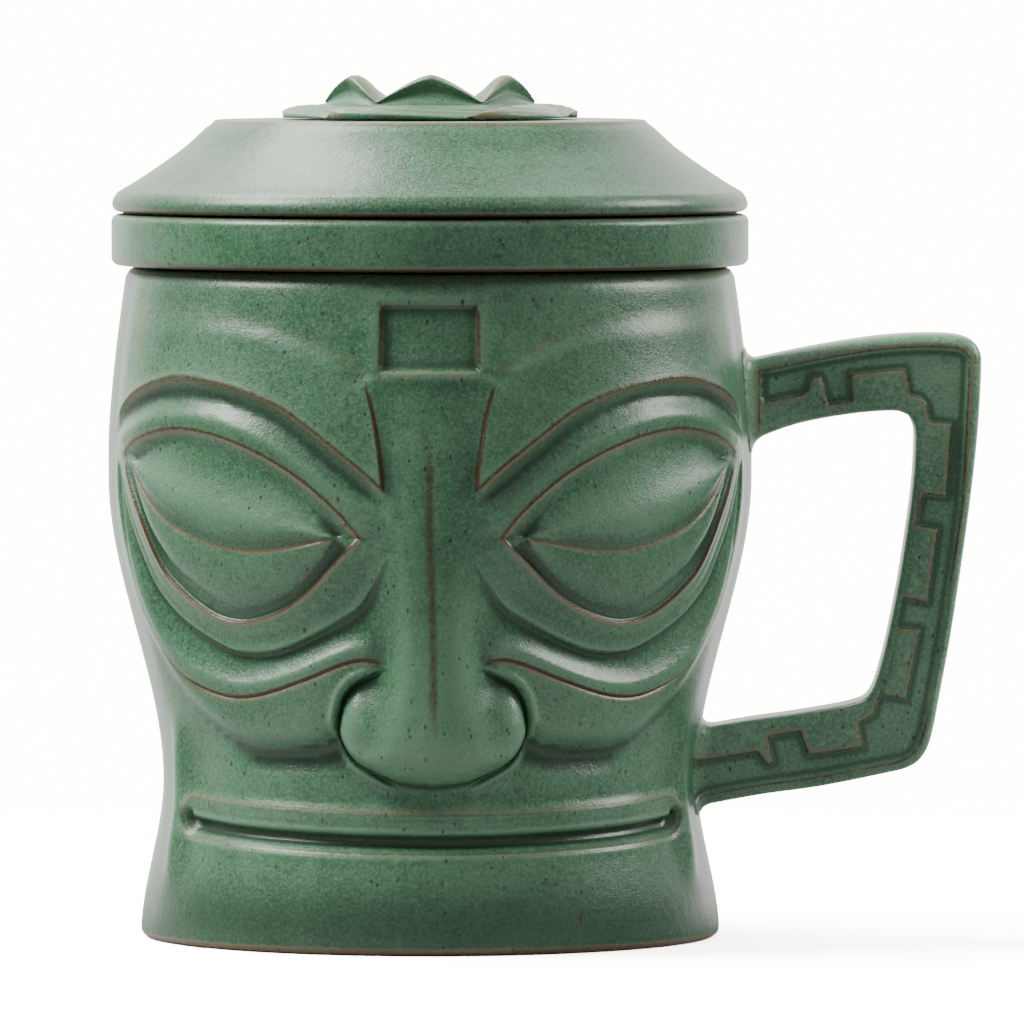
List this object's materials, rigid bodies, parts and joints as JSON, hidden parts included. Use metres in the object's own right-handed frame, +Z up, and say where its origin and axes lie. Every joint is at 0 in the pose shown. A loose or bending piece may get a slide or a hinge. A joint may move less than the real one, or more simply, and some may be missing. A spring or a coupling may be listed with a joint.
{
  "type": "lidded tea mug with infuser",
  "caption": "Glazed stoneware tea mug with a carved mask face, an angular side handle, a lift-out infuser and a lift-off lid.",
  "frame": {"origin": "middle of the round foot, on the surface that the mug stands on", "axes": "+Z up, the face looks along -Y, the handle is at +X"},
  "size_m": [0.1311, 0.0978, 0.1291],
  "materials": {
    "body_glaze": "satin celadon glaze, brown where it breaks over edges",
    "handle_glaze": "satin celadon glaze, brown where it breaks over edges",
    "infuser_glaze": "satin celadon glaze",
    "lid_glaze": "satin celadon glaze",
    "crown_glaze": "satin celadon glaze"
  },
  "bodies": {
    "mug": {"mug_body": "body_glaze", "handle": "handle_glaze"},
    "infuser": {"infuser": "infuser_glaze"},
    "lid": {"lid": "lid_glaze", "lid_crown": "crown_glaze"}
  },
  "joints": [
    {"name": "infuser_lift", "type": "slide", "parent": "mug", "child": "infuser", "axis": [0, 0, 1], "range_m": [0, 0.075]},
    {"name": "lid_lift", "type": "slide", "parent": "infuser", "child": "lid", "axis": [0, 0, 1], "range_m": [0, 0.05]}
  ]
}
